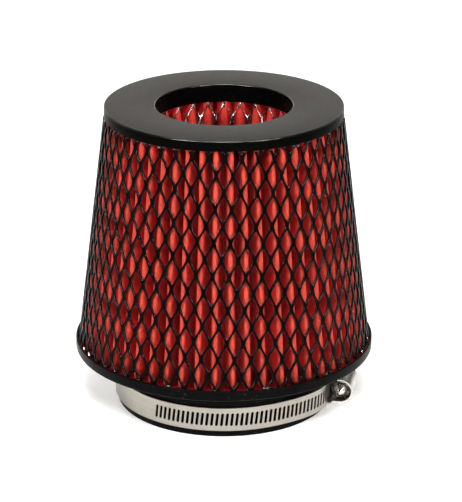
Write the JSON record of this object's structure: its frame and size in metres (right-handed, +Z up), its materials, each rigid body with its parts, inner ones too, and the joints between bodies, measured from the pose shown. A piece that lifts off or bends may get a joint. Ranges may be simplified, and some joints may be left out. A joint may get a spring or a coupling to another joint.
{
  "type": "air filter",
  "caption": "Open-cone pleated air filter with an inverted inner cone, a black guard mesh over red media, and a rubber neck held by a worm-drive clamp.",
  "frame": {"origin": "centre of the neck's flat lower face, where the filter pushes onto the intake pipe", "axes": "+Z up the filter's axis from the neck to the open top; +X towards the clamp's housing, 11 degrees round from it; +Y away from the side with the clamp's slots"},
  "size_m": [0.15, 0.15, 0.1544],
  "materials": {
    "base_flange": "moulded, semi-gloss black",
    "top_cap": "moulded, semi-gloss black",
    "inner_cone_cup": "moulded black",
    "base_potting": "cast sealing compound",
    "top_potting": "cast sealing compound",
    "inner_cup_potting": "cast sealing compound",
    "outer_guard_mesh": "gloss black coating on expanded metal",
    "outer_media": "oiled red cotton gauze",
    "outer_media_seam_clip": "plain crimped strip",
    "outer_support_mesh": "bare expanded metal",
    "inner_guard_mesh": "bare expanded metal",
    "inner_media": "oiled red cotton gauze",
    "inner_media_seam_clip": "plain crimped strip",
    "inner_support_mesh": "bare expanded metal",
    "clamp_band": "rolled stainless strip",
    "clamp_saddle": "rolled stainless strip",
    "clamp_housing": "stamped stainless sheet",
    "clamp_strap": "rolled stainless strip with punched slots",
    "clamp_screw": "plated steel screw"
  },
  "bodies": {
    "filter": {"base_flange": "base_flange", "top_cap": "top_cap", "inner_cone_cup": "inner_cone_cup", "base_potting": "base_potting", "top_potting": "top_potting", "inner_cup_potting": "inner_cup_potting", "outer_guard_mesh": "outer_guard_mesh", "outer_media": "outer_media", "outer_media_seam_clip": "outer_media_seam_clip", "outer_support_mesh": "outer_support_mesh", "inner_guard_mesh": "inner_guard_mesh", "inner_media": "inner_media", "inner_media_seam_clip": "inner_media_seam_clip", "inner_support_mesh": "inner_support_mesh"},
    "clamp": {"clamp_band": "clamp_band", "clamp_saddle": "clamp_saddle", "clamp_housing": "clamp_housing"},
    "strap": {"clamp_strap": "clamp_strap"},
    "screw": {"clamp_screw": "clamp_screw"}
  },
  "joints": [
    {"name": "clamp_swivel", "type": "hinge", "parent": "filter", "child": "clamp", "pos_m": [0, 0, 0.00975], "axis": [0, 0, 1], "continuous": true},
    {"name": "screw_turn", "type": "hinge", "parent": "clamp", "child": "screw", "pos_m": [0.06022, -0.01171, 0.00975], "axis": [-0.1908, -0.9816, 0], "range_deg": [-2160, 720]},
    {"name": "strap_take_up", "type": "hinge", "parent": "clamp", "child": "strap", "pos_m": [0, 0, 0.00975], "axis": [0, 0, 1], "range_deg": [-15.33, 5.12]}
  ],
  "couplings": [
    {"joint": "strap_take_up", "follows": "screw_turn", "ratio": 0.0070925}
  ]
}
